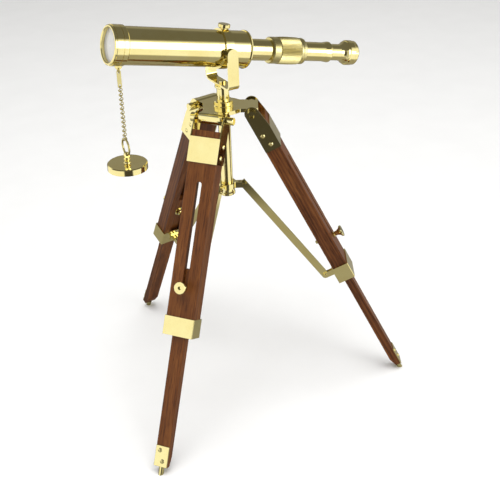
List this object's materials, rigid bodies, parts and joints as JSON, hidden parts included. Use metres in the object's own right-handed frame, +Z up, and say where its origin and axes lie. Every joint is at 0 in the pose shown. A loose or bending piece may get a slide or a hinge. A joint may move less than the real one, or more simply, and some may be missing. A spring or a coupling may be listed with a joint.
{
  "type": "telescope on tripod",
  "caption": "Small brass draw telescope tilting in a yoke on a folding wooden tripod with sliding lower legs, with a chained lens cap.",
  "frame": {"origin": "on the floor, on the axis of the tripod's centre column, below the middle of the three feet", "axes": "+Z up along the centre column, +X level towards the side the objective points to, +Y to the left of the telescope seen from its eyepiece"},
  "size_m": [0.3403, 0.3294, 0.4493],
  "materials": {
    "polished_brass": "polished and lacquered",
    "knurled_brass": "polished, with a straight knurl on the grip",
    "chain_brass": "polished wire and sheet",
    "mahogany": "dark red-brown stain under satin lacquer",
    "lens_glass": "polished optical glass"
  },
  "bodies": {
    "head": {"head_plate": "polished_brass", "head_collar": "polished_brass", "centre_column": "polished_brass", "column_stop": "polished_brass", "hinge_bolts": "polished_brass", "hinge_nuts": "polished_brass"},
    "hub": {"strut_hub": "polished_brass", "hub_pins": "polished_brass"},
    "yoke": {"yoke": "polished_brass", "trunnion_pins": "polished_brass", "pan_washer": "polished_brass", "pan_screw": "polished_brass"},
    "scope": {"barrel": "polished_brass", "barrel_bezel": "polished_brass", "clamp_band": "polished_brass", "objective_cell": "polished_brass", "objective_bezel": "polished_brass", "objective_lens": "lens_glass", "chain_loop": "chain_brass"},
    "clamp_screw": {"clamp_thumbscrew": "polished_brass"},
    "draw_1": {"draw_tube_1": "polished_brass", "erector_lenses": "lens_glass", "focus_collar": "knurled_brass"},
    "draw_2": {"draw_tube_2": "polished_brass", "draw_ring": "polished_brass"},
    "eyepiece": {"eyepiece_tube": "polished_brass", "eyecup": "polished_brass", "eye_lens": "lens_glass"},
    "chain_tab": {"chain_tab": "chain_brass"},
    "chain_upper": {"chain_upper": "chain_brass"},
    "chain_lower": {"chain_lower": "chain_brass"},
    "cap_ring": {"cap_ring": "chain_brass"},
    "lens_cap": {"lens_cap": "polished_brass"},
    "leg_a": {"leg_bracket_a": "polished_brass", "bracket_screws_a": "polished_brass", "upper_leg_a": "mahogany", "leg_collar_a": "polished_brass"},
    "foot_a": {"lower_leg_a": "mahogany", "foot_plate_a": "polished_brass", "foot_pin_a": "polished_brass"},
    "lock_a": {"lock_screw_a": "polished_brass"},
    "strut_a": {"strut_a": "polished_brass"},
    "leg_b": {"leg_bracket_b": "polished_brass", "bracket_screws_b": "polished_brass", "upper_leg_b": "mahogany", "leg_collar_b": "polished_brass"},
    "foot_b": {"lower_leg_b": "mahogany", "foot_plate_b": "polished_brass", "foot_pin_b": "polished_brass"},
    "lock_b": {"lock_screw_b": "polished_brass"},
    "strut_b": {"strut_b": "polished_brass"},
    "leg_c": {"leg_bracket_c": "polished_brass", "bracket_screws_c": "polished_brass", "upper_leg_c": "mahogany", "leg_collar_c": "polished_brass"},
    "foot_c": {"lower_leg_c": "mahogany", "foot_plate_c": "polished_brass", "foot_pin_c": "polished_brass"},
    "lock_c": {"lock_screw_c": "polished_brass"},
    "strut_c": {"strut_c": "polished_brass"}
  },
  "joints": [
    {"name": "leg_fold_a", "type": "hinge", "parent": "head", "child": "leg_a", "pos_m": [0.02333, 0.01822, 0.338], "axis": [-0.6157, 0.788, 0], "range_deg": [0, 21]},
    {"name": "leg_slide_a", "type": "slide", "parent": "leg_a", "child": "foot_a", "axis": [-0.3504, -0.2737, 0.8957], "range_m": [0, 0.1]},
    {"name": "lock_turn_a", "type": "hinge", "parent": "foot_a", "child": "lock_a", "pos_m": [0.08534, 0.06668, 0.17946], "axis": [0.7058, 0.5515, 0.4446], "range_deg": [0, 360]},
    {"name": "strut_swing_a", "type": "hinge", "parent": "hub", "child": "strut_a", "pos_m": [0.01458, 0.01139, 0.2503], "axis": [-0.6157, 0.788, 0], "range_deg": [0, 33.2]},
    {"name": "leg_fold_b", "type": "hinge", "parent": "head", "child": "leg_b", "pos_m": [-0.02589, 0.01435, 0.338], "axis": [-0.4848, -0.8746, 0], "range_deg": [0, 21]},
    {"name": "leg_slide_b", "type": "slide", "parent": "leg_b", "child": "foot_b", "axis": [0.3889, -0.2156, 0.8957], "range_m": [0, 0.1]},
    {"name": "lock_turn_b", "type": "hinge", "parent": "foot_b", "child": "lock_b", "pos_m": [-0.09472, 0.05251, 0.17946], "axis": [-0.7834, 0.4342, 0.4446], "range_deg": [0, 360]},
    {"name": "strut_swing_b", "type": "hinge", "parent": "hub", "child": "strut_b", "pos_m": [-0.01618, 0.00897, 0.2503], "axis": [-0.4848, -0.8746, 0], "range_deg": [0, 33.2]},
    {"name": "leg_fold_c", "type": "hinge", "parent": "head", "child": "leg_c", "pos_m": [0.00412, -0.02931, 0.338], "axis": [0.9903, 0.1392, 0], "range_deg": [0, 21]},
    {"name": "leg_slide_c", "type": "slide", "parent": "leg_c", "child": "foot_c", "axis": [-0.0619, 0.4403, 0.8957], "range_m": [0, 0.1]},
    {"name": "lock_turn_c", "type": "hinge", "parent": "foot_c", "child": "lock_c", "pos_m": [0.01507, -0.10725, 0.17946], "axis": [0.1247, -0.887, 0.4446], "range_deg": [0, 360]},
    {"name": "strut_swing_c", "type": "hinge", "parent": "hub", "child": "strut_c", "pos_m": [0.00257, -0.01832, 0.2503], "axis": [0.9903, 0.1392, 0], "range_deg": [0, 33.2]},
    {"name": "hub_slide", "type": "slide", "parent": "head", "child": "hub", "axis": [0, 0, 1], "range_m": [0, 0.0155]},
    {"name": "yoke_pan", "type": "hinge", "parent": "head", "child": "yoke", "pos_m": [0, 0, 0.3624], "axis": [0, 0, 1], "continuous": true},
    {"name": "scope_tilt", "type": "hinge", "parent": "yoke", "child": "scope", "pos_m": [0, 0, 0.404], "axis": [0, -1, 0], "range_deg": [-42, 30]},
    {"name": "clamp_turn", "type": "hinge", "parent": "scope", "child": "clamp_screw", "pos_m": [-0.00499, 0, 0.42748], "axis": [-0.2079, 0, 0.9781], "range_deg": [0, 360]},
    {"name": "draw_1_slide", "type": "slide", "parent": "scope", "child": "draw_1", "axis": [0.9781, 0, 0.2079], "range_m": [0, 0.028]},
    {"name": "draw_2_slide", "type": "slide", "parent": "draw_1", "child": "draw_2", "axis": [0.9781, 0, 0.2079], "range_m": [0, 0.026]},
    {"name": "eyepiece_slide", "type": "slide", "parent": "draw_2", "child": "eyepiece", "axis": [0.9781, 0, 0.2079], "range_m": [0, 0.012]},
    {"name": "chain_swing", "type": "hinge", "parent": "scope", "child": "chain_tab", "pos_m": [0.11378, 0, 0.40078], "axis": [0, -1, 0], "range_deg": [-30, 42]},
    {"name": "chain_upper_swing", "type": "hinge", "parent": "chain_tab", "child": "chain_upper", "pos_m": [0.11378, 0, 0.38463], "axis": [1, 0, 0], "range_deg": [-32, 32]},
    {"name": "chain_lower_swing", "type": "hinge", "parent": "chain_upper", "child": "chain_lower", "pos_m": [0.11378, 0, 0.35911], "axis": [0, 1, 0], "range_deg": [-35, 35]},
    {"name": "ring_swing", "type": "hinge", "parent": "chain_lower", "child": "cap_ring", "pos_m": [0.11378, 0, 0.3305], "axis": [0, 1, 0], "range_deg": [-35, 35]},
    {"name": "cap_swing", "type": "hinge", "parent": "cap_ring", "child": "lens_cap", "pos_m": [0.11378, 0, 0.313], "axis": [0, 1, 0], "range_deg": [-40, 40]}
  ],
  "couplings": [
    {"joint": "strut_swing_a", "follows": "leg_fold_a", "ratio": 1.572},
    {"joint": "leg_fold_b", "follows": "leg_fold_a", "ratio": 1},
    {"joint": "strut_swing_b", "follows": "leg_fold_a", "ratio": 1.572},
    {"joint": "leg_fold_c", "follows": "leg_fold_a", "ratio": 1},
    {"joint": "strut_swing_c", "follows": "leg_fold_a", "ratio": 1.572},
    {"joint": "hub_slide", "follows": "leg_fold_a", "m_per_rad": 0.041811},
    {"joint": "chain_swing", "follows": "scope_tilt", "ratio": -1}
  ]
}
